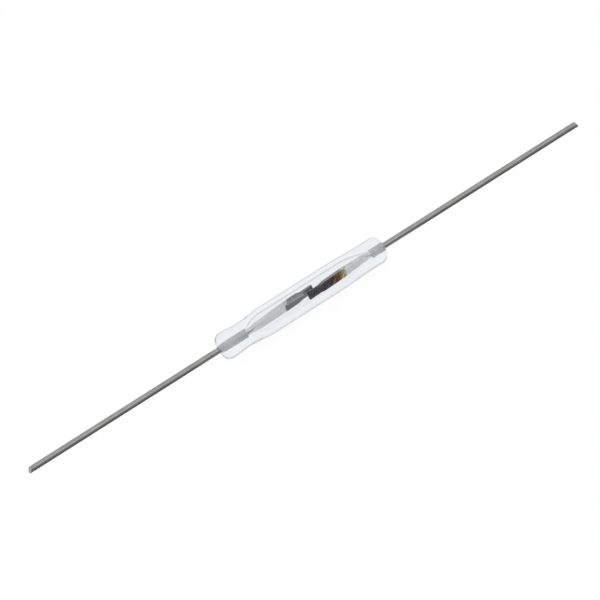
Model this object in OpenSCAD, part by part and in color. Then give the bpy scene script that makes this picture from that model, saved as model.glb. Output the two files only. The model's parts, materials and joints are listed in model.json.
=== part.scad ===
// Glass reed switch: two pressed nickel-iron reeds sealed end to end in a small glass tube.
// The tube lies along X with the left lead towards -X. The origin is the middle of the contact overlap.

/* [Glass capsule] */
// Length of the glass from end to end
glass_length = 13.95; // [12:0.05:18]
// Bore of the glass tube along its straight barrel
tube_bore = 1.3; // [1.2:0.01:1.7]
// Wall of the glass tube along its straight barrel
tube_wall = 0.46; // [0.3:0.01:0.6]
// Diameter of the flat on each fire-polished end
end_face = 1; // [0.7:0.05:1.3]
// Length over which each end rounds off to its flat
end_rounding = 0.65; // [0.3:0.05:0.9]
// Length of the glass that is fused solid round the left lead
left_seal = 2.35; // [1.4:0.05:3]
// Length over which the cavity closes onto the left lead
left_closing = 1.35; // [1:0.05:2.4]
// How far the left end bead stays below the barrel's radius
left_bead_draw = 0.07; // [0:0.005:0.15]
// How far the left waist is drawn in below the barrel's radius
left_waist_draw = 0.165; // [0:0.005:0.25]
// Distance of the left waist from the left end of the glass
left_waist = 2.1; // [1.2:0.05:3]
// Length from the left waist to the full barrel
left_shoulder = 2; // [0.8:0.05:2.6]
// Length of the glass that is fused solid round the right lead
right_seal = 0.9; // [0.7:0.05:3]
// Length over which the cavity closes onto the right lead
right_closing = 2.85; // [1:0.05:3.1]
// How far the right end bead stays below the barrel's radius
right_bead_draw = 0.08; // [0:0.005:0.15]
// How far the right waist is drawn in below the barrel's radius
right_waist_draw = 0.085; // [0:0.005:0.25]
// Distance of the right waist from the right end of the glass
right_waist = 1.3; // [1.1:0.05:3]
// Length from the right waist to the full barrel
right_shoulder = 3.25; // [0.8:0.05:3.5]

/* [Leads] */
// Length of each reed from the cut end of its lead to its contact tip
reed_length = 23.75; // [18:0.05:32]
// Diameter of the bare reed wire
wire_d = 0.44; // [0.38:0.01:0.5]
// Thickness of the tin coat on the lead outside the glass
tin_coat = 0.005; // [0.002:0.001:0.01]
// Length over which the tin coat runs out short of the glass
coat_runout = 0.65; // [0.55:0.05:1.5]
// Slant of the left lead's cut end
left_cut = 4; // [0:1:35]
// Slant of the right lead's cut end
right_cut = 22; // [0:1:35]

/* [Reed blades] */
// Length of round wire that stands in the cavity before it is pressed flat
wire_stub = 0.3; // [0.25:0.05:0.6]
// Length over which the round wire runs out into the flat blade
press_run = 0.6; // [0.4:0.05:1]
// Width of the blade at its root
root_w = 0.66; // [0.52:0.01:0.7]
// Thickness of the blade at its root
root_t = 0.24; // [0.18:0.01:0.3]
// Width of the blade at its widest
blade_w = 0.92; // [0.76:0.01:1]
// Thickness of the blade from its widest part to its tip
blade_t = 0.17; // [0.12:0.01:0.18]
// Length of the widest part
paddle_run = 1.7; // [0.4:0.05:2]
// Length over which the widest part narrows to the tip land
tip_shoulder = 0.5; // [0.2:0.05:0.8]
// Length of the narrower land at the tip
tip_land = 0.9; // [0.6:0.05:1.5]
// Width of the tip land
tip_w = 0.69; // [0.5:0.01:0.75]
// Bevel of the tip's corners
tip_corner = 0.04; // [0.01:0.01:0.1]

/* [Contacts] */
// Length over which the two tips overlap
tip_overlap = 0.6; // [0.3:0.05:0.9]
// Open gap between the two plated contact faces
contact_gap = 0.26; // [0.08:0.01:0.28]
// Thickness of the contact plating
plating = 0.012; // [0.006:0.001:0.02]
// Length of the plating on the left blade
left_plated = 2.45; // [0.8:0.05:3.5]
// Length of the plating on the right blade
right_plated = 3.25; // [0.8:0.05:3.5]

/* [Hidden] */
$fn = 64;

// Straight steps that stand for each curved stretch of an outline
curve_steps = 14;
// Room that cutting bodies take past what they cut
past = 1;

barrel_r = tube_bore / 2 + tube_wall;
bore_r = tube_bore / 2;
wire_r = wire_d / 2;
tinned_r = wire_r + tin_coat;

// The contact overlap lies in the middle of the cavity
cavity_half = (glass_length - left_seal - right_seal) / 2;
glass_left = -cavity_half - left_seal;
glass_right = cavity_half + right_seal;

// Each reed, seen from the contact overlap, out to its bend, its round wire and its cut end
flex_reach = cavity_half - wire_stub - press_run;
round_reach = cavity_half - wire_stub;
lead_reach = reed_length - tip_overlap / 2;

// Each blade leans off the axis, so that its contact face stands half the gap from it
tip_offset = contact_gap / 2 + plating + blade_t / 2;
lean = atan(tip_offset / flex_reach);
blade_length = (flex_reach + tip_overlap / 2) / cos(lean);
paddle_start = blade_length - tip_land - tip_shoulder - paddle_run;

// Soft step from 0 to 1, level at both ends
function ease(u) = (1 - cos(180 * u)) / 2;

// Points of a soft step between two radii, without its first point
function eased(x0, r0, x1, r1) = [
    for (i = [1:curve_steps])
        let (u = i / curve_steps)
        [x0 + (x1 - x0) * u, r0 + (r1 - r0) * ease(u)]
];

// Points of a domed rise between two radii, without its first point
function domed(x0, r0, x1, r1) = [
    for (i = [1:curve_steps])
        let (u = i / curve_steps)
        [x0 + (x1 - x0) * u, r0 + (r1 - r0) * sin(90 * u)]
];

function reversed(path) = [for (i = [len(path) - 1:-1:0]) path[i]];

// Outline of one end of the glass outside, by distance from that end
function outer_end(bead_r, waist_r, waist, shoulder) = concat(
    [[0, wire_r]],
    [
        for (i = [0:curve_steps])
            let (a = 90 * i / curve_steps)
            [end_rounding * (1 - cos(a)), end_face / 2 + (bead_r - end_face / 2) * sin(a)]
    ],
    eased(end_rounding, bead_r, waist, waist_r),
    eased(waist, waist_r, waist + shoulder, barrel_r)
);

// Outline of one end of the glass inside, by distance from that end
function inner_end(seal, closing) = concat(
    [[seal, wire_r]],
    domed(seal, wire_r, seal + closing, bore_r)
);

// Half of the glass section as radius and place along the tube
function glass_section() = concat(
    [
        for (p = outer_end(barrel_r - left_bead_draw, barrel_r - left_waist_draw, left_waist, left_shoulder))
            [p[1], glass_left + p[0]]
    ],
    [
        for (p = reversed(
            outer_end(barrel_r - right_bead_draw, barrel_r - right_waist_draw, right_waist, right_shoulder)
        ))
            [p[1], glass_right - p[0]]
    ],
    [for (p = inner_end(right_seal, right_closing)) [p[1], glass_right - p[0]]],
    [for (p = reversed(inner_end(left_seal, left_closing))) [p[1], glass_left + p[0]]]
);

// Solid of revolution about X from points of place along X and radius
module turned(points) {
    first = points[0];
    last = points[len(points) - 1];
    rotate([0, 90, 0])
        rotate_extrude()
            polygon(concat([[0, first[0]]], [for (p = points) [p[1], p[0]]], [[0, last[0]]]));
}

// Round wire pressed between two flats: half widths give its plan, half thicknesses its edge view
module pressed_wire(half_widths, half_thicknesses) {
    intersection() {
        turned(half_widths);
        linear_extrude(height = 2 * blade_w, center = true)
            polygon(concat(
                half_thicknesses,
                [for (p = reversed(half_thicknesses)) [p[0], -p[1]]]
            ));
    }
}

// Cuts the end of a lead off at a slant, with its full length at the bottom
module cut_end(slant) {
    difference() {
        children();
        translate([-lead_reach, 0, -tinned_r])
            rotate([0, slant, 0])
                translate([-past, -past, -past])
                    cube([past, 2 * past, 3 * past]);
    }
}

// Lead of the left reed, from its cut end to the plane where its blade bends
module lead(glass_end, slant) {
    press_slope = (wire_d - root_t) / 2 / press_run;
    cut_end(slant)
        pressed_wire(
            [
                [-lead_reach, tinned_r],
                [-glass_end - coat_runout, tinned_r],
                [-glass_end, wire_r],
                [-round_reach, wire_r],
                [-flex_reach, root_w / 2]
            ],
            [
                [-lead_reach - past, wire_d],
                [-round_reach - wire_r / press_slope, wire_d],
                [-flex_reach, root_t / 2]
            ]
        );
}

// Plan of a blade that starts at its root, as place and half width, short of its tip's corners
blade_plan = concat(
    [[0, root_w / 2], [paddle_start, blade_w / 2], [paddle_start + paddle_run, blade_w / 2]],
    eased(paddle_start + paddle_run, blade_w / 2, blade_length - tip_land, tip_w / 2)
);

// Edge view of the blade, as place and half thickness
blade_edge = [[0, root_t / 2], [paddle_start, blade_t / 2]];

// The stations of an outline from a given place on, with a skin on them
function stations_from(outline, start, skin) = concat(
    [[start, lookup(start, outline) + skin]],
    [for (p = outline) if (p[0] > start) [p[0], p[1] + skin]]
);

// The blade from a given place to its tip, grown all round by a skin
module blade_from(start, skin) {
    tip = blade_length + skin;
    pressed_wire(
        concat(
            stations_from(blade_plan, start, skin),
            [[tip - tip_corner, tip_w / 2 + skin], [tip, tip_w / 2 - tip_corner + skin]]
        ),
        concat(
            stations_from(blade_edge, start, skin),
            [[tip + past, blade_t / 2 + skin]]
        )
    );
}

// Puts a blade at its bend and leans it off the axis
module leaning() {
    translate([-flex_reach, 0, 0])
        rotate([0, 0, lean])
            children();
}

// Blade of the left reed, cut square to the tube where it meets its lead
module blade() {
    intersection() {
        leaning()
            blade_from(-wire_d, 0);
        translate([-flex_reach, -past, -past])
            cube([2 * flex_reach, 2 * past, 2 * past]);
    }
}

// Plating that wraps the tip of the left blade over the given length
module contact(plated) {
    leaning()
        difference() {
            blade_from(blade_length - plated, plating);
            blade_from(0, 0);
        }
}

// The right reed is the left one turned end for end
module as_right() {
    rotate([0, 0, 180])
        children();
}

module glass_capsule() {
    color([0.87, 0.9, 0.94, 0.4])
        rotate([0, 90, 0])
            rotate_extrude()
                polygon(glass_section());
}

module left_lead() {
    color("#8b8a86")
        lead(-glass_left, left_cut);
}

module left_blade() {
    color("#c4c6c9")
        blade();
}

module left_contact() {
    color("#67676a")
        contact(left_plated);
}

module right_lead() {
    color("#8b8a86")
        as_right()
            lead(glass_right, right_cut);
}

module right_blade() {
    color("#c4c6c9")
        as_right()
            blade();
}

module right_contact() {
    color("#4b4239")
        as_right()
            contact(right_plated);
}

glass_capsule();
left_lead();
left_blade();
left_contact();
right_lead();
right_blade();
right_contact();
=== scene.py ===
"""Glass reed switch: the looks of its glass capsule, its two pressed reeds and their plated contact tips.

The tube lies along X with the left lead towards -X, and the middle of the contact overlap is the origin.
Sizes are metres, written as millimetres times MM.
"""

import json
import math

import bmesh
import bpy
from bpy.props import FloatProperty, FloatVectorProperty, IntProperty, PointerProperty
from bpy.types import NodeSocket, Operator, Panel, PropertyGroup
from mathutils import Matrix, Vector


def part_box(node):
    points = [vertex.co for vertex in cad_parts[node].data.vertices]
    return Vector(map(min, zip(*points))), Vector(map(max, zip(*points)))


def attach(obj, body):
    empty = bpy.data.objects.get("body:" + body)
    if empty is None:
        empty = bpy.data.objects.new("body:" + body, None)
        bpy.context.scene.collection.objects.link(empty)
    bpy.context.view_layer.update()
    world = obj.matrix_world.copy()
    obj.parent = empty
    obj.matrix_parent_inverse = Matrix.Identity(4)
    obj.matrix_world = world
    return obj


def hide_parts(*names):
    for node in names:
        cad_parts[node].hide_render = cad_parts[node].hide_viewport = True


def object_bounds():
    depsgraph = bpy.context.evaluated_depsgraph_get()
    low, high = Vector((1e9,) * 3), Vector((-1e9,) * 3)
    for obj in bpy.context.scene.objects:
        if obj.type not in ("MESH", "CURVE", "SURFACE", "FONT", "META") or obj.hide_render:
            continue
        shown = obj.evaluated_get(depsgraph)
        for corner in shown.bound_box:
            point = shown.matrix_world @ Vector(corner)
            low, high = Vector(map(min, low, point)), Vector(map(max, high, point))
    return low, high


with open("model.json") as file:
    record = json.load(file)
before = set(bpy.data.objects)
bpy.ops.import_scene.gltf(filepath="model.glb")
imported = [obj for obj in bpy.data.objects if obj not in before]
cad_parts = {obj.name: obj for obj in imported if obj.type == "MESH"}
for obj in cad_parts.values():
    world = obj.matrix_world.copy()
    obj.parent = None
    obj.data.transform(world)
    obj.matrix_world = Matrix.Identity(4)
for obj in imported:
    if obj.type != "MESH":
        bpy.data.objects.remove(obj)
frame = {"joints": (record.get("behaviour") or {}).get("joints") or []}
cad_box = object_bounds()

bl_info = {
    "name": "Glass reed switch",
    "version": (1, 0, 0),
    "blender": (4, 5, 0),
    "location": "View3D > Sidebar > Reed switch",
    "description": "Models a glass reed switch over its packed frame",
    "category": "Add Mesh",
}

MM = 0.001

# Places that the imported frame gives: ends of the glass, cut ends of the leads and the planes where the blades bend
GLASS_LEFT, GLASS_RIGHT = (corner.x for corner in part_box("glass_capsule"))
LEAD_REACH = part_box("right_lead")[1].x
FLEX_REACH = next(joint["pos_m"][0] for joint in frame["joints"] if joint["name"] == "right_reed_bend")

# Steps along the glass: its rounded ends, its beads, its shoulders and the domes that close its cavity
ROUNDING_STEPS = 40
BEAD_STEPS = 28
SHOULDER_STEPS = 32
CLOSING_STEPS = 40

# Facets round the wire, and steps in which the press flattens it
WIRE_FACETS = 64
PRESS_STEPS = 8
# Slants of the leads' cut ends, and the depth along the lead that a cut can take in
LEFT_CUT = math.radians(28)
RIGHT_CUT = math.radians(22)
CUT_DEPTH = 0.26 * MM
# Ring that the cutter left near the end, as millimetres from the end and share of the lead's radius
CUTTER_RING = ((0.28, 1), (0.3, 0.86), (0.34, 0.86), (0.38, 1))
# Length over which the tin coat runs out short of the glass
COAT_RUNOUT = 0.65 * MM
# How much thicker the sealed wire is than the bore of its seal, so that the glass wets it all round
WETTING = 0.002 * MM
# A lead's material slots after its tin, and the room that is left where one finish meets the next
SEALED_SLOT, BARE_SLOT, SHEARED_SLOT = 1, 2, 3
FINISH_ROOM = 0.001 * MM

# Room between a lead and its blade, so that the corners of the bent blade clear the lead
BEND_ROOM = 0.004 * MM
# Lengths of a blade's widest part, of the shoulder that narrows it and of the land at its tip
PADDLE_RUN = 1.7 * MM
TIP_SHOULDER = 0.5 * MM
TIP_LAND = 0.9 * MM
TIP_SHOULDER_STEPS = 10
# Rounded corners of the tip, as millimetres short of it and millimetres off its width, and how much thinner it ends
TIP_CORNERS = ((0.04, 0), (0.012, 0.03), (0, 0.08))
TIP_THINNING = 0.03 * MM
# Lengths of the contact plating
LEFT_PLATED = 2.45 * MM
RIGHT_PLATED = 3.25 * MM
# Painted highlight line, a lighter base colour along the blades: its height at the middle of the overlap, and how
# steeply it rises away from there; the left plating's painted bands slant at the same rise
HIGHLIGHT_LINE_HEIGHT = 0.09 * MM
HIGHLIGHT_LINE_RISE = 0.064

# Places nearer than this are one place, and edges that turn by less than this are smooth
TOUCH = 1e-7
SMOOTH_ANGLE = math.radians(35)

FLOOR_SIZE = 4
SENSOR_WIDTH = 36
SOFTBOX_PLACE = (0.03, -0.16, 0.26)
SOFTBOX_SIZE = (0.2, 0.06)
SOFTBOX_WATTS = 0.04

# Sockets of a Mix node: its factor, the two colours with their result, and the two values
FACTOR = 0
COLOUR_A, COLOUR_B, COLOUR = 6, 7, 2
VALUE_A, VALUE_B = 2, 3


def linear(code):
    """Linear colour with full alpha from an sRGB hex code."""
    parts = [int(code[i : i + 2], 16) / 255 for i in (1, 3, 5)]
    return tuple(p / 12.92 if p <= 0.04045 else ((p + 0.055) / 1.055) ** 2.4 for p in parts) + (1.0,)


class GlassSettings(PropertyGroup):
    """Sizes and tint of the glass capsule."""

    bore: FloatProperty(
        name="Bore", description="Bore of the straight barrel", default=1.3 * MM, unit="LENGTH", precision=5
    )
    wall: FloatProperty(
        name="Wall", description="Wall of the straight barrel", default=0.46 * MM, unit="LENGTH", precision=5
    )
    face: FloatProperty(
        name="End flat", description="Diameter of the flat on each fire-polished end", default=1 * MM,
        unit="LENGTH", precision=5,
    )
    rounding: FloatProperty(
        name="End rounding", description="Length over which each end rounds off to its flat", default=0.65 * MM,
        unit="LENGTH", precision=5,
    )
    left_seal: FloatProperty(
        name="Left seal", description="Length of the glass that is fused round the left lead", default=2.25 * MM,
        unit="LENGTH", precision=5,
    )
    right_seal: FloatProperty(
        name="Right seal", description="Length of the glass that is fused round the right lead", default=1.15 * MM,
        unit="LENGTH", precision=5,
    )
    steps: IntProperty(name="Steps round", description="Facets round the tube", default=192, min=32, max=256)
    tint: FloatVectorProperty(
        name="Tint", description="Colour that the clear glass gives to what lies behind it",
        subtype="COLOR", size=4, min=0, max=1, default=linear("#FAFAFB"),
    )


class ReedSettings(PropertyGroup):
    """Sizes and colours of the two reeds: round leads, pressed blades and plated tips."""

    wire: FloatProperty(
        name="Wire", description="Diameter of the bare reed wire", default=0.44 * MM, unit="LENGTH", precision=5
    )
    coat: FloatProperty(
        name="Tin coat", description="Thickness of the tin coat outside the glass", default=0.005 * MM,
        unit="LENGTH", precision=6,
    )
    press: FloatProperty(
        name="Press run", description="Length over which the wire runs out into the blade", default=0.6 * MM,
        unit="LENGTH", precision=5,
    )
    root_width: FloatProperty(
        name="Root width", description="Width of the blade where it bends", default=0.66 * MM,
        unit="LENGTH", precision=5,
    )
    root_thickness: FloatProperty(
        name="Root thickness", description="Thickness of the blade where it bends", default=0.24 * MM,
        unit="LENGTH", precision=5,
    )
    width: FloatProperty(
        name="Blade width", description="Width of the blade at its widest", default=0.92 * MM,
        unit="LENGTH", precision=5,
    )
    thickness: FloatProperty(
        name="Blade thickness", description="Thickness of the blade at its tip", default=0.17 * MM,
        unit="LENGTH", precision=5,
    )
    tip_width: FloatProperty(
        name="Tip width", description="Width of the land at the tip", default=0.69 * MM, unit="LENGTH", precision=5
    )
    overlap: FloatProperty(
        name="Overlap", description="Length over which the two tips overlap", default=0.6 * MM,
        unit="LENGTH", precision=5,
    )
    gap: FloatProperty(
        name="Contact gap", description="Open gap between the plated faces", default=0.26 * MM,
        unit="LENGTH", precision=5,
    )
    plating: FloatProperty(
        name="Plating", description="Thickness of the contact plating", default=0.012 * MM, unit="LENGTH", precision=6
    )
    tin: FloatVectorProperty(
        name="Tinned lead", description="Colour of the drawn and tinned leads",
        subtype="COLOR", size=4, min=0, max=1, default=linear("#989897"),
    )
    alloy: FloatVectorProperty(
        name="Bare alloy", description="Colour of the bare reed alloy inside the glass",
        subtype="COLOR", size=4, min=0, max=1, default=linear("#DDDDDE"),
    )
    sealed: FloatVectorProperty(
        name="Sealed wire", description="Colour of the wire where the glass is fused onto its oxide",
        subtype="COLOR", size=4, min=0, max=1, default=linear("#E0E2E4"),
    )
    hard_plating: FloatVectorProperty(
        name="Left plating", description="Colour of the hard plating on the left tip",
        subtype="COLOR", size=4, min=0, max=1, default=linear("#9A9B9D"),
    )
    dark_plating: FloatVectorProperty(
        name="Right plating", description="Colour of the dark plating on the right tip",
        subtype="COLOR", size=4, min=0, max=1, default=linear("#413E45"),
    )
    gold: FloatVectorProperty(
        name="Gold edge", description="Colour of the gold that shows where the dark plating ends",
        subtype="COLOR", size=4, min=0, max=1, default=linear("#664617"),
    )


class StageSettings(PropertyGroup):
    """Camera place and backdrop colour."""

    azimuth: FloatProperty(
        name="Azimuth", description="Camera's turn about the vertical, from the front", default=math.radians(-15.63),
        subtype="ANGLE",
    )
    elevation: FloatProperty(
        name="Elevation", description="Camera's angle above the horizon", default=math.radians(46.93), subtype="ANGLE"
    )
    roll: FloatProperty(
        name="Roll", description="Camera's turn about its own view", default=math.radians(-20.81), subtype="ANGLE"
    )
    distance: FloatProperty(
        name="Distance", description="Camera's distance from what it looks at", default=160 * MM, unit="LENGTH"
    )
    lens: FloatProperty(name="Lens", description="Focal length", default=135.5, unit="CAMERA")
    aim: FloatVectorProperty(
        name="Aim", description="Point that the camera looks at", subtype="TRANSLATION", size=3, precision=6,
        default=(-0.909 * MM, -0.045 * MM, -0.045 * MM),
    )
    backdrop: FloatVectorProperty(
        name="Backdrop", description="Colour of the floor and backdrop",
        subtype="COLOR", size=4, min=0, max=1, default=linear("#FFFFFF"),
    )


def ease(u):
    """Soft step from 0 to 1, level at both ends."""
    return (1 - math.cos(math.pi * u)) / 2


def eased(start, end, steps):
    """Points of a soft step between two (place, radius) points, without the first."""
    (x0, r0), (x1, r1) = start, end
    return [(x0 + (x1 - x0) * i / steps, r0 + (r1 - r0) * ease(i / steps)) for i in range(1, steps + 1)]


def quarter(steps):
    """Angles of a quarter turn, from 0 in equal steps."""
    return [math.pi / 2 * i / steps for i in range(steps + 1)]


def glass_end(glass, wire, seal, closing, bead_draw, waist_draw, waist, shoulder):
    """Outside and inside of one end of the glass, as (distance from that end, radius)."""
    barrel = glass.bore / 2 + glass.wall
    bead = barrel - bead_draw
    neck = barrel - waist_draw
    flat = glass.face / 2
    outside = [(0, wire)]
    outside += [
        (glass.rounding * (1 - math.cos(a)), flat + (bead - flat) * math.sin(a)) for a in quarter(ROUNDING_STEPS)
    ]
    outside += eased((glass.rounding, bead), (waist, neck), BEAD_STEPS)
    outside += eased((waist, neck), (waist + shoulder, barrel), SHOULDER_STEPS)
    inside = [
        (seal + closing * i / CLOSING_STEPS, wire + (glass.bore / 2 - wire) * math.sin(a))
        for i, a in enumerate(quarter(CLOSING_STEPS))
    ]
    return outside, inside


def draw_outline(name, points):
    """New piece in edit mode with a closed outline through the points, drawn as a chain of extruded corners."""
    bpy.ops.object.select_all(action="DESELECT")
    bpy.ops.mesh.primitive_plane_add(size=MM)
    piece = bpy.context.object
    piece.name = piece.data.name = name
    bpy.ops.object.mode_set(mode="EDIT")
    bpy.ops.mesh.select_mode(type="VERT")
    bpy.ops.mesh.select_all(action="SELECT")
    bpy.ops.mesh.merge(type="CENTER")
    bpy.ops.transform.translate(value=points[0])
    for here, there in zip(points, points[1:] + points[:1]):
        bpy.ops.mesh.extrude_region_move(TRANSFORM_OT_translate={"value": Vector(there) - Vector(here)})
    bpy.ops.mesh.select_all(action="SELECT")
    bpy.ops.mesh.remove_doubles(threshold=TOUCH)
    return piece


def start_wire(name, x, radius):
    """New piece in edit mode: a round face, square to X at the given place, selected all over."""
    bpy.ops.object.select_all(action="DESELECT")
    bpy.ops.mesh.primitive_circle_add(
        vertices=WIRE_FACETS, radius=radius, fill_type="NGON", location=(x, 0, 0), rotation=(0, math.pi / 2, 0)
    )
    piece = bpy.context.object
    piece.name = piece.data.name = name
    bpy.ops.object.transform_apply(location=True, rotation=True)
    bpy.ops.object.mode_set(mode="EDIT")
    bpy.ops.mesh.select_all(action="SELECT")
    return piece


def select_where(test):
    """In edit mode, selects the vertices whose place passes the test, and the edges and faces between them."""
    bpy.ops.mesh.select_mode(type="VERT")
    bpy.ops.mesh.select_all(action="DESELECT")
    mesh = bpy.context.object.data
    shape = bmesh.from_edit_mesh(mesh)
    for vertex in shape.verts:
        vertex.select = test(vertex.co)
    shape.select_flush_mode()
    bmesh.update_edit_mesh(mesh)


def select_at(x):
    """In edit mode, selects what lies square to X at the given place."""
    select_where(lambda place: abs(place.x - x) < TOUCH)


def press_flat(x, half, y=0):
    """Presses the round outline at the given place between two flats, half a thickness either side of y."""
    for side in (1, -1):
        select_where(lambda place: abs(place.x - x) < TOUCH and side * (place.y - y) > half)
        bpy.ops.transform.resize(value=(1, 0, 1), center_override=(x, y + side * half, 0))
    select_at(x)


def draw_out(stations):
    """Extrudes the selected end face through (x, y, thickness, width) stations, from the one where it lies."""
    for (x0, y0, t0, w0), (x1, y1, t1, w1) in zip(stations, stations[1:]):
        bpy.ops.mesh.extrude_region_move(TRANSFORM_OT_translate={"value": (x1 - x0, y1 - y0, 0)})
        bpy.ops.transform.resize(value=(1, t1 / t0, w1 / w0), center_override=(x1, y1, 0))


def close_piece():
    """Merges doubles, turns normals out, leaves edit mode and smooths all but the sharp edges."""
    bpy.ops.mesh.select_all(action="SELECT")
    bpy.ops.mesh.remove_doubles(threshold=TOUCH)
    bpy.ops.mesh.normals_make_consistent(inside=False)
    bpy.ops.object.mode_set(mode="OBJECT")
    bpy.ops.object.shade_smooth_by_angle(angle=SMOOTH_ANGLE)


def pick(piece):
    """Makes a piece the only selected object and the active one."""
    bpy.ops.object.select_all(action="DESELECT")
    piece.select_set(True)
    bpy.context.view_layer.objects.active = piece


def turn_end_for_end(piece):
    """Turns a piece half round the vertical through the origin, where the right reed lies."""
    pick(piece)
    bpy.ops.transform.rotate(value=math.pi, orient_axis="Z", center_override=(0, 0, 0))
    bpy.ops.object.transform_apply(location=True, rotation=True)


def shade_where(piece, slot, test):
    """Gives the faces whose vertices all pass the test the piece's material of the given slot."""
    pick(piece)
    bpy.ops.object.mode_set(mode="EDIT")
    select_where(test)
    piece.active_material_index = slot
    bpy.ops.object.material_slot_assign()
    bpy.ops.object.mode_set(mode="OBJECT")


def dress(piece, body, node, slot, *materials):
    """Gives a finished piece its materials and body, and hides the CAD node that it replaces; the slot argument is not
    used.
    """
    for material in materials:
        piece.data.materials.append(material)
    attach(piece, body)
    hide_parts(node)


def add_node(tree, kind, inputs=None, **settings):
    """Adds a node with its settings, and sets or links its inputs."""
    node = tree.nodes.new("ShaderNode" + kind)
    for key, value in settings.items():
        setattr(node, key, value)
    for key, value in (inputs or {}).items():
        if isinstance(value, NodeSocket):
            tree.links.new(value, node.inputs[key])
        else:
            node.inputs[key].default_value = value
    return node


def new_material(name):
    """New node material, its tree and its surface shader."""
    material = bpy.data.materials.new(name)
    material.use_nodes = True
    tree = material.node_tree
    return material, tree, tree.nodes["Principled BSDF"]


def toned(colour, factor):
    """A lighter or darker shade of a linear colour."""
    return tuple(min(1, factor * c) for c in colour[:3]) + (1.0,)


def glass_material(tint):
    """Clear borosilicate tube, drawn and fire-polished: clean and colourless, with fine grey lines at its rims."""
    material, tree, shader = new_material("Borosilicate glass, drawn and fire-polished")
    shader.inputs["Transmission Weight"].default_value = 1
    shader.inputs["IOR"].default_value = 1.5
    # less mirror than bare glass has, for a room that is darker round the camera
    shader.inputs["Specular Tint"].default_value = linear("#9A9A9A")
    place = add_node(tree, "TexCoord").outputs["Object"]
    # slow drift of the tint along the drawn tube, about 3 mm long and 0.6 mm round
    stretched = add_node(tree, "Mapping", {"Vector": place, "Scale": (1 / (3 * MM), 1 / (0.6 * MM), 1 / (0.6 * MM))})
    drift = add_node(tree, "TexNoise", {"Vector": stretched.outputs[0], "Scale": 1, "Detail": 1})
    shade = add_node(
        tree, "Mix", {FACTOR: drift.outputs["Fac"], COLOUR_A: tint, COLOUR_B: linear("#FCFCFC")}, data_type="RGBA"
    )
    tree.links.new(shade.outputs[COLOUR], shader.inputs["Base Color"])
    rough = add_node(tree, "MapRange", {"Value": drift.outputs["Fac"], "To Min": 0.0, "To Max": 0.02})
    tree.links.new(rough.outputs[0], shader.inputs["Roughness"])
    return material


def wire_material(name, colour, roughness, contrast, metallic=1, highlight_strength=0):
    """Drawn metal: fine lines along X from the die, a satin sheen across them, a slow change of tone and, where a
    strength is given, a painted highlight line.
    """
    material, tree, shader = new_material(name)
    shader.inputs["Metallic"].default_value = metallic
    place = add_node(tree, "TexCoord").outputs["Object"]
    # die lines 0.08 mm apart and 4 mm long: finer ones would not show
    along = add_node(tree, "Mapping", {"Vector": place, "Scale": (1 / (4 * MM), 1 / (0.08 * MM), 1 / (0.08 * MM))})
    lines = add_node(tree, "TexNoise", {"Vector": along.outputs[0], "Scale": 1, "Detail": 3, "Roughness": 0.6})
    # blotches about 0.8 mm across, where the coat or the oxide is thicker
    patches = add_node(tree, "TexNoise", {"Vector": place, "Scale": 1 / (0.8 * MM), "Detail": 4})
    lined = add_node(
        tree, "Mix",
        {FACTOR: lines.outputs["Fac"], COLOUR_A: toned(colour, 1 - contrast), COLOUR_B: toned(colour, 1 + contrast)},
        data_type="RGBA",
    )
    blotched = add_node(
        tree, "Mix", {FACTOR: contrast, COLOUR_A: lined.outputs[COLOUR], COLOUR_B: patches.outputs["Fac"]},
        data_type="RGBA", blend_type="OVERLAY",
    )
    tone = blotched.outputs[COLOUR]
    if highlight_strength:
        # painted highlight: a lighter line about 0.1 mm wide along a blade, rising away from the middle of the overlap
        axes = add_node(tree, "SeparateXYZ", {0: place})
        reach = add_node(tree, "Math", {0: axes.outputs["X"]}, operation="ABSOLUTE")
        level = add_node(
            tree, "Math", {0: reach.outputs[0], 1: -HIGHLIGHT_LINE_RISE, 2: axes.outputs["Z"]}, operation="MULTIPLY_ADD"
        )
        above = add_node(tree, "Math", {0: level.outputs[0], 1: HIGHLIGHT_LINE_HEIGHT}, operation="SUBTRACT")
        apart = add_node(tree, "Math", {0: above.outputs[0]}, operation="ABSOLUTE")
        highlight_mask = add_node(
            tree, "MapRange",
            {"Value": apart.outputs[0], "From Min": 0.03 * MM, "From Max": 0.08 * MM, "To Min": highlight_strength, "To Max": 0.0},
        )
        highlight_painted = add_node(
            tree, "Mix", {FACTOR: highlight_mask.outputs[0], COLOUR_A: tone, COLOUR_B: toned(colour, 1.25)}, data_type="RGBA"
        )
        tone = highlight_painted.outputs[COLOUR]
    tree.links.new(tone, shader.inputs["Base Color"])
    sheen = add_node(
        tree, "MapRange", {"Value": lines.outputs["Fac"], "To Min": roughness - 0.06, "To Max": roughness + 0.08}
    )
    tree.links.new(sheen.outputs[0], shader.inputs["Roughness"])
    bump = add_node(tree, "Bump", {"Height": lines.outputs["Fac"], "Strength": contrast, "Distance": 0.003 * MM})
    tree.links.new(bump.outputs[0], shader.inputs["Normal"])
    return material


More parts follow.
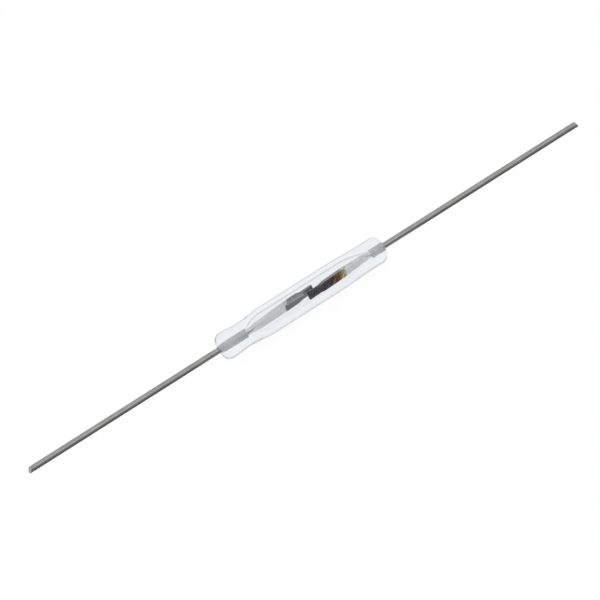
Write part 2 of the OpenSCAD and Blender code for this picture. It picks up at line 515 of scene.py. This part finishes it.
def hard_plating_material(reeds):
    """Electroplated hard contact metal: dark grey, with painted bands of light and shade and a painted highlight line,
    fading out over the bare alloy.
    """
    material, tree, shader = new_material("Ruthenium contact plating, electroplated and burnished")
    shader.inputs["Metallic"].default_value = 1
    place = add_node(tree, "TexCoord").outputs["Object"]
    axes = add_node(tree, "SeparateXYZ", {0: place})
    # grain of about 0.12 mm: the real one is too fine to show
    grain = add_node(tree, "TexNoise", {"Vector": place, "Scale": 1 / (0.12 * MM), "Detail": 4, "Roughness": 0.6})
    # painted light and shade in bands across the blade, in mm of height, slanting as the highlight line does: painted
    # shade below, a painted highlight line, painted light on the upper side above it
    half = 0.45
    level = add_node(
        tree, "Math", {0: axes.outputs["X"], 1: HIGHLIGHT_LINE_RISE, 2: axes.outputs["Z"]}, operation="MULTIPLY_ADD"
    )
    across = add_node(tree, "MapRange", {"Value": level.outputs[0], "From Min": -half * MM, "From Max": half * MM})
    bands = add_node(tree, "ValToRGB", {0: across.outputs[0]})
    ramp = bands.color_ramp
    ramp.elements[0].color = ramp.elements[1].color = toned(reeds.hard_plating, 0.6)
    for mm, shade in (
        (-0.14, 0.63), (-0.06, 0.7), (0.02, 0.76), (0.07, 1.3), (0.11, 1.3), (0.16, 0.9), (0.25, 0.95), (0.36, 0.84)
    ):
        ramp.elements.new((mm + half) / (2 * half)).color = toned(reeds.hard_plating, shade)
    lined = add_node(
        tree, "Mix", {FACTOR: 0.4, COLOUR_A: bands.outputs[0], COLOUR_B: grain.outputs["Fac"]},
        data_type="RGBA", blend_type="OVERLAY",
    )
    # the plating starts later along the upper edge, with a ragged front of about 0.1 mm
    lift = add_node(
        tree, "MapRange",
        {
            "Value": axes.outputs["Z"], "From Min": 0.12 * MM, "From Max": 0.42 * MM,
            "To Min": -2.17 * MM, "To Max": -1.9 * MM,
        },
        interpolation_type="SMOOTHSTEP",
    )
    ragged = add_node(
        tree, "Math", {0: grain.outputs["Fac"], 1: 0.1 * MM, 2: lift.outputs[0]}, operation="MULTIPLY_ADD"
    )
    inside = add_node(tree, "Math", {0: axes.outputs["X"], 1: ragged.outputs[0]}, operation="SUBTRACT")
    plated = add_node(
        tree, "MapRange", {"Value": inside.outputs[0], "From Min": -0.05 * MM, "From Max": 0.06 * MM},
        interpolation_type="SMOOTHSTEP",
    )
    faded = add_node(
        tree, "Mix", {FACTOR: plated.outputs[0], COLOUR_A: reeds.alloy, COLOUR_B: lined.outputs[COLOUR]},
        data_type="RGBA",
    )
    tree.links.new(faded.outputs[COLOUR], shader.inputs["Base Color"])
    rough = add_node(tree, "MapRange", {"Value": grain.outputs["Fac"], "To Min": 0.34, "To Max": 0.5})
    tree.links.new(rough.outputs[0], shader.inputs["Roughness"])
    bump = add_node(tree, "Bump", {"Height": grain.outputs["Fac"], "Strength": 0.2, "Distance": 0.003 * MM})
    tree.links.new(bump.outputs[0], shader.inputs["Normal"])
    return material


def dark_plating_material(reeds):
    """Electroplated dark contact metal over gold: nearly black, browning towards a gold edge, with pale scrapes and a
    painted highlight along its upper narrow side.
    """
    material, tree, shader = new_material("Ruthenium over gold flash, electroplated")
    shader.inputs["Metallic"].default_value = 1
    coordinates = add_node(tree, "TexCoord")
    place = coordinates.outputs["Object"]
    axes = add_node(tree, "SeparateXYZ", {0: place})
    grain = add_node(tree, "TexNoise", {"Vector": place, "Scale": 1 / (0.2 * MM), "Detail": 4, "Roughness": 0.6})
    # bands of colour along the blade, in mm from the middle of the overlap, which wander by about 0.25 mm
    start, end = -0.3, 3.0
    wander = add_node(
        tree, "MapRange",
        {
            "Value": grain.outputs["Fac"], "From Min": 0.3, "From Max": 0.7,
            "To Min": -0.13 * MM, "To Max": 0.13 * MM,
        },
    )
    along = add_node(tree, "Math", {0: axes.outputs["X"], 1: wander.outputs[0]}, operation="ADD")
    span = add_node(tree, "MapRange", {"Value": along.outputs[0], "From Min": start * MM, "From Max": end * MM})
    bands = add_node(tree, "ValToRGB", {0: span.outputs[0]})
    ramp = bands.color_ramp
    ramp.elements[0].color = reeds.dark_plating
    ramp.elements[0].position = 0.3
    ramp.elements[1].color = reeds.alloy
    ramp.elements[1].position = 0.97
    for mm, colour in (
        (1.6, linear("#312723")),
        (2.05, linear("#512E10")),
        (2.3, reeds.gold),
        (2.48, linear("#7A6024")),
        (2.64, linear("#948860")),
        (2.8, linear("#9A9374")),
    ):
        ramp.elements.new((mm - start) / (end - start)).color = colour
    # three slanting streaks, about 0.1 mm wide, where the dark layer is scraped through
    first, last = 1, 3
    slant = add_node(tree, "Math", {0: axes.outputs["Z"], 1: -0.59, 2: axes.outputs["X"]}, operation="MULTIPLY_ADD")
    reach = add_node(tree, "MapRange", {"Value": slant.outputs[0], "From Min": first * MM, "From Max": last * MM})
    scrapes = add_node(tree, "ValToRGB", {0: reach.outputs[0]})
    marks = scrapes.color_ramp
    marks.elements[0].color = marks.elements[1].color = (0, 0, 0, 1)
    for mm, strength in ((1.42, 0.12), (1.98, 0.3), (2.74, 0.7)):
        for aside, share in ((-0.09, 0), (0, strength), (0.09, 0)):
            marks.elements.new((mm + aside - first) / (last - first)).color = (share, share, share, 1)
    low = add_node(
        tree, "MapRange", {"Value": axes.outputs["Z"], "From Min": 0.2 * MM, "From Max": -0.05 * MM},
        interpolation_type="SMOOTHSTEP",
    )
    shown = add_node(tree, "Math", {0: scrapes.outputs[0], 1: low.outputs[0]}, operation="MULTIPLY")
    flecked = add_node(
        tree, "Mix", {FACTOR: shown.outputs[0], COLOUR_A: bands.outputs[0], COLOUR_B: linear("#E0D8BC")},
        data_type="RGBA",
    )
    # painted highlight along the upward narrow side: pale grey over the plating, the alloy's colour past its end
    sides = add_node(tree, "SeparateXYZ", {0: coordinates.outputs["Normal"]})
    side = add_node(
        tree, "MapRange", {"Value": sides.outputs["Z"], "From Min": 0.35, "From Max": 0.75, "To Max": 0.85}
    )
    from_tip = add_node(tree, "MapRange", {"Value": axes.outputs["X"], "From Min": 0.5 * MM, "From Max": 1.2 * MM})
    painted_highlight_mask = add_node(tree, "Math", {0: side.outputs[0], 1: from_tip.outputs[0]}, operation="MULTIPLY")
    bare = add_node(tree, "MapRange", {"Value": along.outputs[0], "From Min": 2.5 * MM, "From Max": 2.75 * MM})
    highlight_tone = add_node(
        tree, "Mix", {FACTOR: bare.outputs[0], COLOUR_A: linear("#ADA8AA"), COLOUR_B: reeds.alloy}, data_type="RGBA"
    )
    with_highlight = add_node(
        tree, "Mix", {FACTOR: painted_highlight_mask.outputs[0], COLOUR_A: flecked.outputs[COLOUR], COLOUR_B: highlight_tone.outputs[COLOUR]},
        data_type="RGBA",
    )
    # the face that meets the other contact is bare hard metal
    face = add_node(tree, "MapRange", {"Value": sides.outputs["Y"], "From Min": 0.3, "From Max": 0.7})
    hard = add_node(
        tree, "Mix", {FACTOR: 0.4, COLOUR_A: toned(reeds.hard_plating, 1.2), COLOUR_B: grain.outputs["Fac"]},
        data_type="RGBA", blend_type="OVERLAY",
    )
    faced = add_node(
        tree, "Mix", {FACTOR: face.outputs[0], COLOUR_A: with_highlight.outputs[COLOUR], COLOUR_B: hard.outputs[COLOUR]},
        data_type="RGBA",
    )
    tree.links.new(faced.outputs[COLOUR], shader.inputs["Base Color"])
    rough = add_node(tree, "MapRange", {"Value": grain.outputs["Fac"], "To Min": 0.3, "To Max": 0.48})
    tree.links.new(rough.outputs[0], shader.inputs["Roughness"])
    bump = add_node(tree, "Bump", {"Height": grain.outputs["Fac"], "Strength": 0.2, "Distance": 0.004 * MM})
    tree.links.new(bump.outputs[0], shader.inputs["Normal"])
    return material


def floor_material(colour):
    """Matte white paper sweep: plain white behind the part, with the part's soft shadow on it; to reflections it is
    grey, with a painted pool of light round the glass.
    """
    material, tree, shader = new_material("White paper sweep, matte")
    path = add_node(tree, "LightPath")
    through = path.outputs["Is Transmission Ray"]
    # painted pool of light on the floor round the glass, about 9 by 5 mm either way, shown only to reflected rays so
    # that the glass rims mirror it, and brighter behind the part than in front
    place = add_node(tree, "TexCoord").outputs["Object"]
    spread = add_node(tree, "Mapping", {"Vector": place, "Scale": (1 / (9 * MM), 1 / (5 * MM), 0)})
    away = add_node(tree, "VectorMath", {0: spread.outputs[0]}, operation="LENGTH")
    near = add_node(
        tree, "MapRange",
        {"Value": away.outputs["Value"], "From Min": 0.8, "From Max": 1.2, "To Min": 1.0, "To Max": 0.0},
        interpolation_type="SMOOTHSTEP",
    )
    depth = add_node(tree, "SeparateXYZ", {0: place})
    behind = add_node(
        tree, "MapRange",
        {"Value": depth.outputs["Y"], "From Min": -1 * MM, "From Max": 1 * MM, "To Min": 0.4, "To Max": 0.9},
    )
    mirrored = add_node(tree, "Math", {0: near.outputs[0], 1: path.outputs["Is Glossy Ray"]}, operation="MULTIPLY")
    painted_pool = add_node(tree, "Math", {0: mirrored.outputs[0], 1: behind.outputs[0]}, operation="MULTIPLY")
    straight = add_node(tree, "Math", {0: path.outputs["Is Camera Ray"], 1: through}, operation="MAXIMUM")
    seen = add_node(tree, "Math", {0: straight.outputs[0], 1: painted_pool.outputs[0]}, operation="MAXIMUM")
    # the rest of what is seen is lit paper, which keeps the shadow
    share = add_node(tree, "Math", {0: seen.outputs[0], 1: 0.95}, operation="MULTIPLY")
    # to rays that are neither seen straight, nor through the glass, nor in the painted pool, the paper is mid grey, so
    # that metal mirrors a darker floor
    tone = add_node(
        tree, "Mix", {FACTOR: seen.outputs[0], COLOUR_A: linear("#949494"), COLOUR_B: colour}, data_type="RGBA"
    )
    shader.inputs["Roughness"].default_value = 0.9
    shader.inputs["Specular IOR Level"].default_value = 0
    tree.links.new(tone.outputs[COLOUR], shader.inputs["Base Color"])
    behind_glass = add_node(
        tree, "Mix", {FACTOR: through, COLOUR_A: colour, COLOUR_B: linear("#F3F6F9")}, data_type="RGBA"
    )
    glow = add_node(tree, "Emission", {"Color": behind_glass.outputs[COLOUR], "Strength": 1})
    mixed = add_node(tree, "MixShader", {0: share.outputs[0], 1: shader.outputs[0], 2: glow.outputs[0]})
    tree.links.new(mixed.outputs[0], tree.nodes["Material Output"].inputs["Surface"])
    return material


def studio_world(colour):
    """Studio round the part: plain white to the camera, shaded for metal and glass."""
    world = bpy.data.worlds.new("Studio")
    world.use_nodes = True
    tree = world.node_tree
    path = add_node(tree, "LightPath")
    direction = add_node(tree, "SeparateXYZ", {0: add_node(tree, "TexCoord").outputs["Generated"]})
    # as metal sees it: bright overhead and behind, dim in front
    height = add_node(
        tree, "Math", {0: direction.outputs["Y"], 1: 0.6, 2: direction.outputs["Z"]}, operation="MULTIPLY_ADD"
    )
    studio = add_node(
        tree, "MapRange",
        {"Value": height.outputs[0], "From Min": -0.6, "From Max": 0.4, "To Min": 0.3, "To Max": 1.0},
    )
    mirrored = add_node(tree, "Mix", {FACTOR: path.outputs["Is Glossy Ray"], VALUE_A: 1.0, VALUE_B: studio.outputs[0]})
    # through the glass: dimmer than the floor towards the horizon and in front
    above = add_node(tree, "MapRange", {"Value": direction.outputs["Z"], "To Min": 0.62, "To Max": 1.0})
    ahead = add_node(
        tree, "MapRange",
        {"Value": direction.outputs["Y"], "From Min": -0.9, "From Max": -0.4, "To Min": 0.25, "To Max": 1.0},
    )
    beyond = add_node(tree, "Math", {0: above.outputs[0], 1: ahead.outputs[0]}, operation="MULTIPLY")
    behind_glass = add_node(
        tree, "Mix",
        {FACTOR: path.outputs["Is Transmission Ray"], VALUE_A: mirrored.outputs[0], VALUE_B: beyond.outputs[0]},
    )
    shown = add_node(
        tree, "Mix", {FACTOR: path.outputs["Is Camera Ray"], VALUE_A: behind_glass.outputs[0], VALUE_B: 1.0}
    )
    background = tree.nodes["Background"]
    background.inputs["Color"].default_value = colour
    tree.links.new(shown.outputs[0], background.inputs["Strength"])
    return world


class GlassCapsule(Operator):
    """Spins the collapsed and fused glass tube from its half section"""

    bl_idname = "reed_switch.glass_capsule"
    bl_label = "Glass capsule"

    def execute(self, context):
        glass = context.scene.reed_switch_glass
        wire = context.scene.reed_switch_reeds.wire / 2
        left_out, left_in = glass_end(
            glass, wire, glass.left_seal, closing=1.45 * MM,
            bead_draw=0.07 * MM, waist_draw=0.165 * MM, waist=2.1 * MM, shoulder=2 * MM,
        )
        right_out, right_in = glass_end(
            glass, wire, glass.right_seal, closing=2.4 * MM,
            bead_draw=0.08 * MM, waist_draw=0.085 * MM, waist=1.3 * MM, shoulder=3.25 * MM,
        )
        section = [(GLASS_LEFT + x, 0, r) for x, r in left_out]
        section += [(GLASS_RIGHT - x, 0, r) for x, r in reversed(right_out)]
        section += [(GLASS_RIGHT - x, 0, r) for x, r in right_in]
        section += [(GLASS_LEFT + x, 0, r) for x, r in reversed(left_in)]
        piece = draw_outline("capsule_glass", section)
        bpy.ops.mesh.select_all(action="SELECT")
        bpy.ops.mesh.spin(steps=glass.steps, angle=math.tau, center=(0, 0, 0), axis=(1, 0, 0))
        close_piece()
        dress(piece, "capsule", "glass_capsule", "glass", glass_material(glass.tint))
        return {"FINISHED"}


def lead_wire(reeds, name, glass_reach, seal, cut, nicked):
    """One lead as it lies on the left: cut end, tin coat that runs out at the glass, sealed wire and pressed root."""
    bare = reeds.wire / 2
    sealed = bare + WETTING
    tinned = bare + reeds.coat
    round_end = -FLEX_REACH - reeds.press
    places = [(-LEAD_REACH, tinned)]
    if nicked:
        places += [(-LEAD_REACH + mm * MM, share * tinned) for mm, share in CUTTER_RING]
    places += [
        (-glass_reach - COAT_RUNOUT, tinned),
        (-glass_reach, sealed),
        (-glass_reach + seal, sealed),
        (round_end, sealed),
    ]
    piece = start_wire(name, -LEAD_REACH, tinned)
    draw_out([(x, 0, 2 * r, 2 * r) for x, r in places])
    # the press flattens the wire a little more with every step towards the bend
    for i in range(1, PRESS_STEPS + 1):
        u = i / PRESS_STEPS
        x = round_end + reeds.press * u
        before = sealed + (reeds.root_width / 2 - sealed) * (i - 1) / PRESS_STEPS
        after = sealed + (reeds.root_width / 2 - sealed) * u
        draw_out([(x - reeds.press / PRESS_STEPS, 0, 1, before), (x, 0, after / before, after)])
        press_flat(x, bare + (reeds.root_thickness / 2 - bare) * u)
    bpy.ops.mesh.select_all(action="SELECT")
    bpy.ops.mesh.bisect(
        plane_co=(-LEAD_REACH, 0, -tinned),
        plane_no=(-math.cos(cut), 0, math.sin(cut)),
        use_fill=True,
        clear_outer=True,
        threshold=TOUCH,
    )
    close_piece()
    return piece


class Leads(Operator):
    """Draws out the two round leads, cuts their ends and presses their roots"""

    bl_idname = "reed_switch.leads"
    bl_label = "Leads"

    def execute(self, context):
        glass = context.scene.reed_switch_glass
        reeds = context.scene.reed_switch_reeds
        tin = wire_material("Nickel-iron wire, drawn and tinned", reeds.tin, roughness=0.3, contrast=0.25)
        sealed = wire_material(
            "Nickel-iron wire, drawn and oxidised", reeds.sealed, roughness=0.6, contrast=0.02, metallic=0.4
        )
        alloy = wire_material("Nickel-iron wire, pressed and annealed", reeds.alloy, roughness=0.35, contrast=0.04)
        sheared = wire_material("Nickel-iron wire, sheared", toned(reeds.tin, 2.45), roughness=0.5, contrast=0.1)
        for side, name, node, glass_reach, seal, cut in (
            (-1, "left_lead_wire", "left_lead", -GLASS_LEFT, glass.left_seal, LEFT_CUT),
            (1, "right_lead_wire", "right_lead", GLASS_RIGHT, glass.right_seal, RIGHT_CUT),
        ):
            lead = lead_wire(reeds, name, glass_reach, seal, cut, nicked=side < 0)
            if side > 0:
                turn_end_for_end(lead)
            dress(lead, "capsule", node, "tinned_lead", tin, sealed, alloy, sheared)
            shade_where(lead, SEALED_SLOT, lambda place: side * place.x < glass_reach + FINISH_ROOM)
            shade_where(lead, BARE_SLOT, lambda place: side * place.x < glass_reach - seal + FINISH_ROOM)
            shade_where(lead, SHEARED_SLOT, lambda place: side * place.x > LEAD_REACH - CUT_DEPTH)
        return {"FINISHED"}


def blade_stations(reeds, start, skin):
    """Stations of the left blade from a given place on, with a skin on them, as (x, y, thickness, width)."""
    tip = reeds.overlap / 2
    shoulder_end = tip - TIP_LAND
    shoulder = shoulder_end - TIP_SHOULDER
    paddle = shoulder - PADDLE_RUN
    offset = reeds.gap / 2 + reeds.plating + reeds.thickness / 2
    plan = [(-FLEX_REACH, reeds.root_width), (paddle, reeds.width), (shoulder, reeds.width)]
    plan += eased((shoulder, reeds.width), (shoulder_end, reeds.tip_width), TIP_SHOULDER_STEPS)
    plan += [(tip - short * MM, reeds.tip_width - narrower * MM) for short, narrower in TIP_CORNERS]

    def station(x, width):
        taper = min(1, (x + FLEX_REACH) / (paddle + FLEX_REACH))
        thickness = reeds.root_thickness + (reeds.thickness - reeds.root_thickness) * taper
        if x > tip - TOUCH:
            thickness -= TIP_THINNING
            x += skin
        return (x, offset * (x + FLEX_REACH) / FLEX_REACH, thickness + 2 * skin, width + 2 * skin)

    before = [p for p in plan if p[0] <= start + TOUCH][-1]
    after = [p for p in plan if p[0] > start + TOUCH]
    u = (start - before[0]) / (after[0][0] - before[0])
    first = (start, before[1] + (after[0][1] - before[1]) * u)
    return [station(x, width) for x, width in [first] + after]


def blade_form(reeds, name, start, skin):
    """The left blade from a given place to its tip in edit mode, grown all round by a skin."""
    stations = blade_stations(reeds, start, skin)
    x, y, thickness, width = stations[0]
    piece = start_wire(name, x, width / 2)
    bpy.ops.transform.translate(value=(0, y, 0))
    # pressed in the proportions of the root, so that both sides keep its round edges
    root = reeds.root_thickness / reeds.root_width * width / 2
    press_flat(x, root, y)
    bpy.ops.transform.resize(value=(1, thickness / 2 / root, 1), center_override=(x, y, 0))
    draw_out(stations)
    return piece


class Blades(Operator):
    """Draws out the left blade from its pressed root to its tip, and copies it for the right reed"""

    bl_idname = "reed_switch.blades"
    bl_label = "Blades"

    def execute(self, context):
        reeds = context.scene.reed_switch_reeds
        # the blades' alloy carries a painted highlight line along them
        alloy = wire_material(
            "Nickel-iron strip, pressed and annealed", reeds.alloy, roughness=0.45, contrast=0.05, highlight_strength=0.6
        )
        left = blade_form(reeds, "left_reed_blade", BEND_ROOM - FLEX_REACH, 0)
        close_piece()
        bpy.ops.object.duplicate()
        right = context.object
        right.name = right.data.name = "right_reed_blade"
        turn_end_for_end(right)
        dress(left, "left_reed", "left_blade", "reed_alloy", alloy)
        dress(right, "right_reed", "right_blade", "reed_alloy", alloy)
        return {"FINISHED"}


def plating_sleeve(reeds, name, plated):
    """Plating on the left blade's tip over the given length: the blade's own form, opened and given a wall."""
    start = reeds.overlap / 2 - plated
    piece = blade_form(reeds, name, start, reeds.plating)
    select_at(start)
    bpy.ops.mesh.delete(type="ONLY_FACE")
    close_piece()
    wall = piece.modifiers.new("Wall", "SOLIDIFY")
    wall.thickness = reeds.plating
    wall.offset = -1
    bpy.ops.object.modifier_apply(modifier=wall.name)
    return piece


class Contacts(Operator):
    """Wraps the plating round the two contact tips"""

    bl_idname = "reed_switch.contacts"
    bl_label = "Contacts"

    def execute(self, context):
        reeds = context.scene.reed_switch_reeds
        left = plating_sleeve(reeds, "left_tip_plating", LEFT_PLATED)
        dress(left, "left_reed", "left_contact", "left_plating", hard_plating_material(reeds))
        right = plating_sleeve(reeds, "right_tip_plating", RIGHT_PLATED)
        turn_end_for_end(right)
        dress(right, "right_reed", "right_contact", "right_plating", dark_plating_material(reeds))
        return {"FINISHED"}


def camera_axes(stage):
    """Right, up and back of the camera at its azimuth, elevation and roll."""
    level = Vector((math.cos(stage.azimuth), math.sin(stage.azimuth), 0))
    back = Vector((
        math.cos(stage.elevation) * math.sin(stage.azimuth),
        -math.cos(stage.elevation) * math.cos(stage.azimuth),
        math.sin(stage.elevation),
    ))
    right = math.cos(stage.roll) * level + math.sin(stage.roll) * back.cross(level)
    return right, back.cross(right), back


class Stage(Operator):
    """Adds the floor, the camera, the soft light and the studio round them"""

    bl_idname = "reed_switch.stage"
    bl_label = "Stage"

    def execute(self, context):
        scene = context.scene
        stage = scene.reed_switch_stage
        bpy.ops.object.select_all(action="DESELECT")
        bpy.ops.mesh.primitive_plane_add(size=FLOOR_SIZE, location=(0, 0, cad_box[0].z))
        floor = context.object
        floor.name = "floor"
        bpy.ops.object.transform_apply(location=True)
        floor.data.materials.append(floor_material(stage.backdrop))

        right, up, back = camera_axes(stage)
        turn = Matrix((right, up, back)).transposed().to_euler()
        bpy.ops.object.camera_add(location=Vector(stage.aim) + stage.distance * back, rotation=turn)
        camera = context.object
        camera.data.lens = stage.lens
        camera.data.sensor_width = SENSOR_WIDTH
        camera.data.clip_start = 1 * MM
        scene.camera = camera

        # softbox above the camera: the bright line along the wire
        place = Vector(SOFTBOX_PLACE)
        bpy.ops.object.light_add(type="AREA", location=place, rotation=place.to_track_quat("Z", "Y").to_euler())
        softbox = context.object
        softbox.name = "softbox"
        softbox.data.shape = "RECTANGLE"
        softbox.data.size, softbox.data.size_y = SOFTBOX_SIZE
        softbox.data.energy = SOFTBOX_WATTS
        softbox.visible_transmission = False

        scene.world = studio_world(stage.backdrop)
        # light crosses many glass walls before it leaves the fused ends
        scene.cycles.max_bounces = 40
        scene.cycles.glossy_bounces = 24
        scene.cycles.transmission_bounces = 32
        scene.view_settings.view_transform = "Standard"
        return {"FINISHED"}


STEPS = (GlassCapsule, Leads, Blades, Contacts, Stage)


class ReedSwitchPanel(Panel):
    """Sizes, colours and steps of the reed switch"""

    bl_idname = "VIEW3D_PT_reed_switch"
    bl_label = "Reed switch"
    bl_space_type = "VIEW_3D"
    bl_region_type = "UI"
    bl_category = "Reed switch"

    def draw(self, context):
        scene = context.scene
        for settings in (scene.reed_switch_glass, scene.reed_switch_reeds, scene.reed_switch_stage):
            box = self.layout.box()
            for name in type(settings).__annotations__:
                box.prop(settings, name)
        for step in STEPS:
            self.layout.operator(step.bl_idname)


CLASSES = (GlassSettings, ReedSettings, StageSettings, *STEPS, ReedSwitchPanel)


def register():
    for each in CLASSES:
        bpy.utils.register_class(each)
    bpy.types.Scene.reed_switch_glass = PointerProperty(type=GlassSettings)
    bpy.types.Scene.reed_switch_reeds = PointerProperty(type=ReedSettings)
    bpy.types.Scene.reed_switch_stage = PointerProperty(type=StageSettings)


def unregister():
    for name in ("reed_switch_stage", "reed_switch_reeds", "reed_switch_glass"):
        delattr(bpy.types.Scene, name)
    for each in reversed(CLASSES):
        bpy.utils.unregister_class(each)


def main():
    register()
    bpy.ops.reed_switch.glass_capsule()
    bpy.ops.reed_switch.leads()
    bpy.ops.reed_switch.blades()
    bpy.ops.reed_switch.contacts()
    bpy.ops.reed_switch.stage()


if __name__ == "__main__":
    main()
